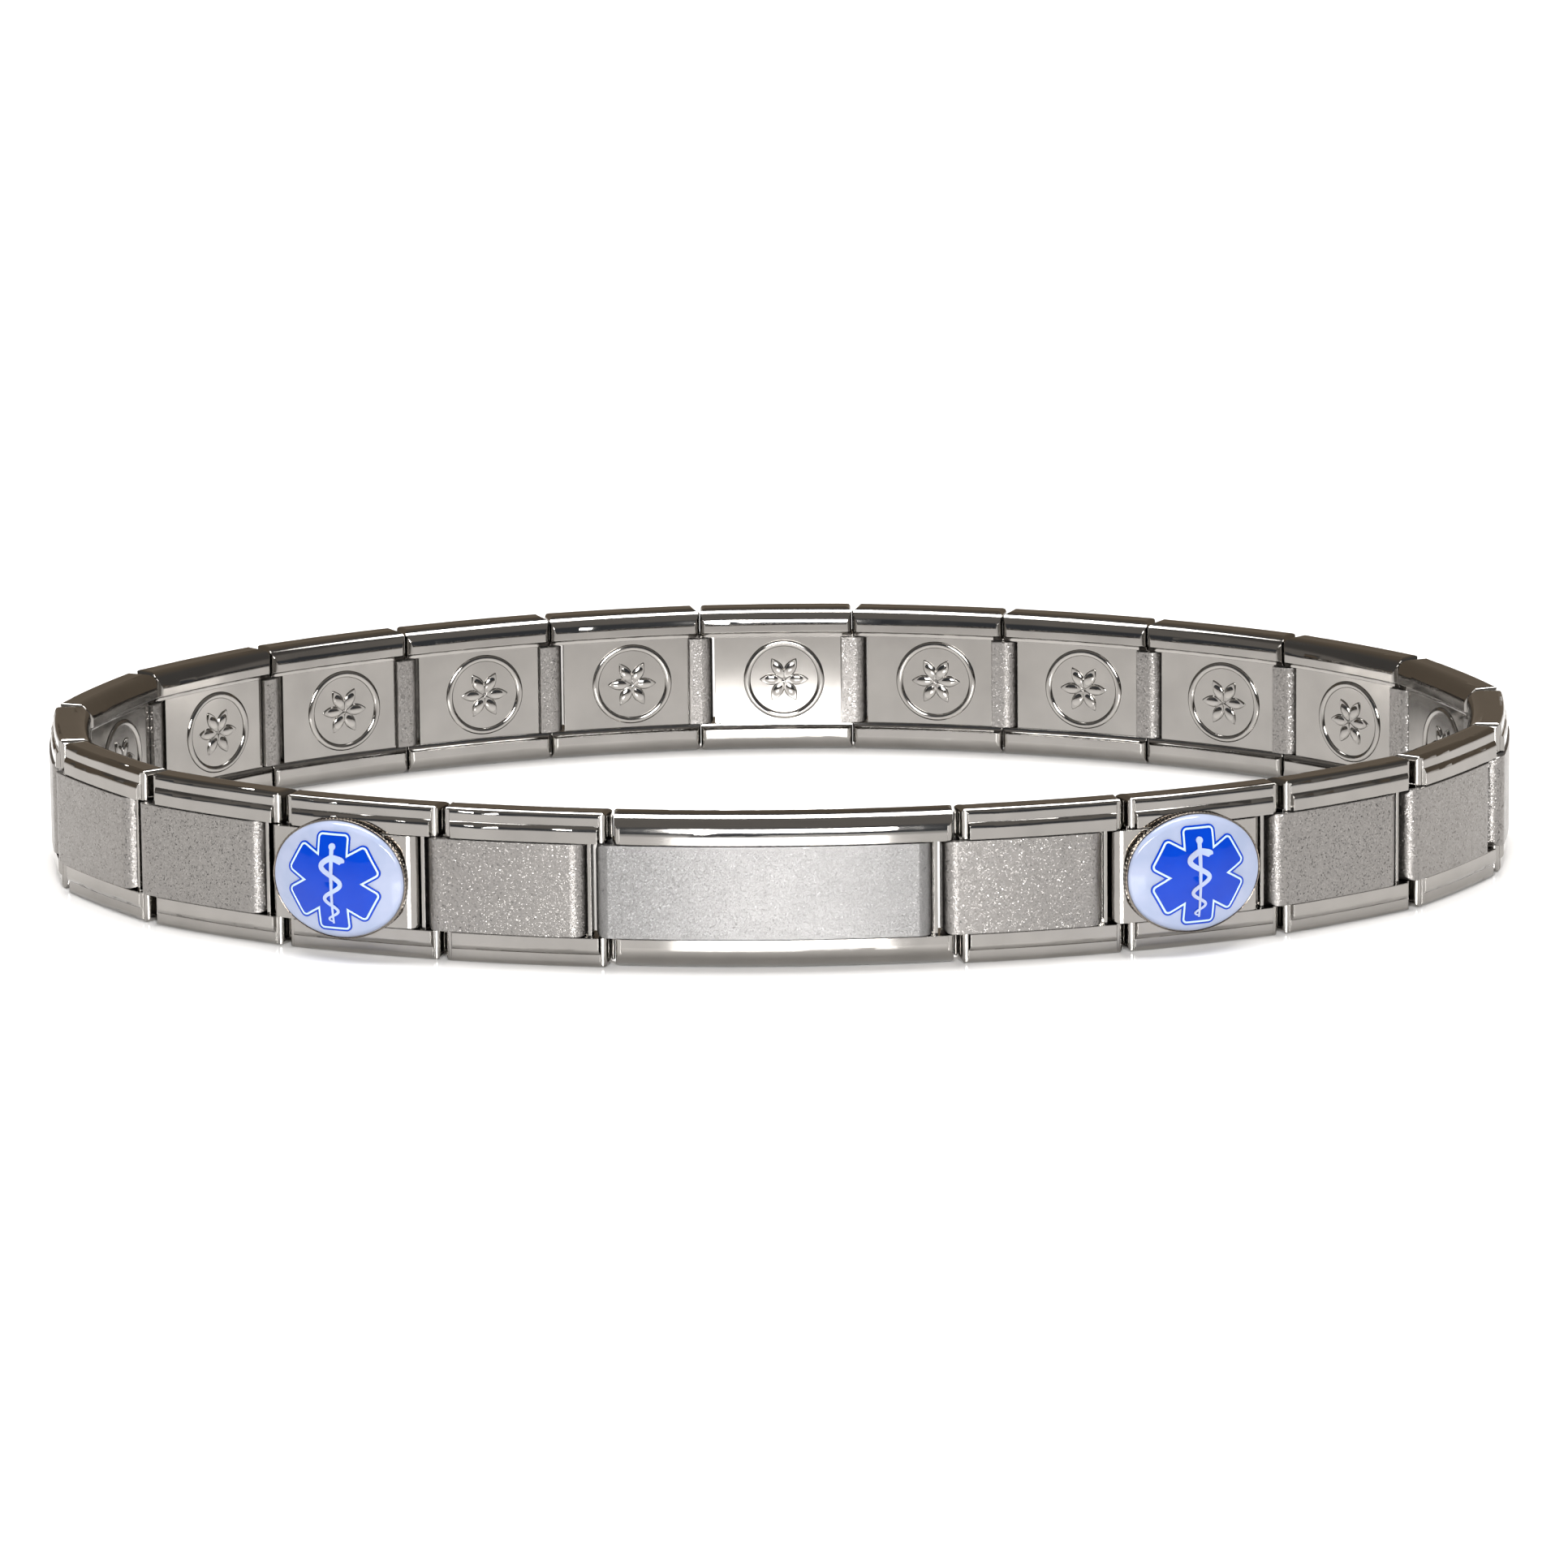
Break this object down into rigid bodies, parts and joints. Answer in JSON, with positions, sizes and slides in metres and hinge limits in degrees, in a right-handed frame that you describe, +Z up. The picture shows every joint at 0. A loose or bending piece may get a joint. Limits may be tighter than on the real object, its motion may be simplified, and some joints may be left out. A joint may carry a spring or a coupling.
{
  "type": "medical alert bracelet",
  "caption": "Oval band of hinged steel links with a long blank identity link in front and a domed medical sign on a link to either side of it.",
  "frame": {"origin": "centre of the bracelet's box at its base: the middle of the oval, at the height of the lower rail edges that it stands on", "axes": "+X along the oval's long way, to the right as seen from in front of the identity link; +Y from the identity link towards the back of the wrist; +Z up, along the wrist"},
  "size_m": [0.0886, 0.0616, 0.0092],
  "materials": {
    "polished_steel": "mirror-polished stainless steel",
    "satin_steel": "bead-blasted satin stainless steel with rolled bright edges",
    "pearl_dome": "clear gloss resin over a pearly white ground",
    "blue_print": "blue print under gloss resin",
    "pale_print": "pale grey print under gloss resin"
  },
  "bodies": {
    "root": {"frame_id": "polished_steel", "frame_r1": "polished_steel", "frame_r2": "polished_steel", "frame_r3": "polished_steel", "frame_r4": "polished_steel", "frame_r5": "polished_steel", "frame_r6": "polished_steel", "frame_r7": "polished_steel", "frame_r8": "polished_steel", "frame_r9": "polished_steel", "frame_r10": "polished_steel", "frame_back": "polished_steel", "frame_l10": "polished_steel", "frame_l9": "polished_steel", "frame_l8": "polished_steel", "frame_l7": "polished_steel", "frame_l6": "polished_steel", "frame_l5": "polished_steel", "frame_l4": "polished_steel", "frame_l3": "polished_steel", "frame_l2": "polished_steel", "frame_l1": "polished_steel", "plate_id": "satin_steel", "plate_r1": "satin_steel", "plate_r2": "polished_steel", "plate_r3": "satin_steel", "plate_r4": "satin_steel", "plate_r5": "satin_steel", "plate_r6": "satin_steel", "plate_r7": "satin_steel", "plate_r8": "satin_steel", "plate_r9": "satin_steel", "plate_r10": "satin_steel", "plate_back": "satin_steel", "plate_l10": "satin_steel", "plate_l9": "satin_steel", "plate_l8": "satin_steel", "plate_l7": "satin_steel", "plate_l6": "satin_steel", "plate_l5": "satin_steel", "plate_l4": "satin_steel", "plate_l3": "satin_steel", "plate_l2": "polished_steel", "plate_l1": "satin_steel", "dome_r2": "pearl_dome", "dome_l2": "pearl_dome", "star_r2": "blue_print", "star_l2": "blue_print", "staff_r2": "pale_print", "staff_l2": "pale_print"}
  },
  "joints": []
}
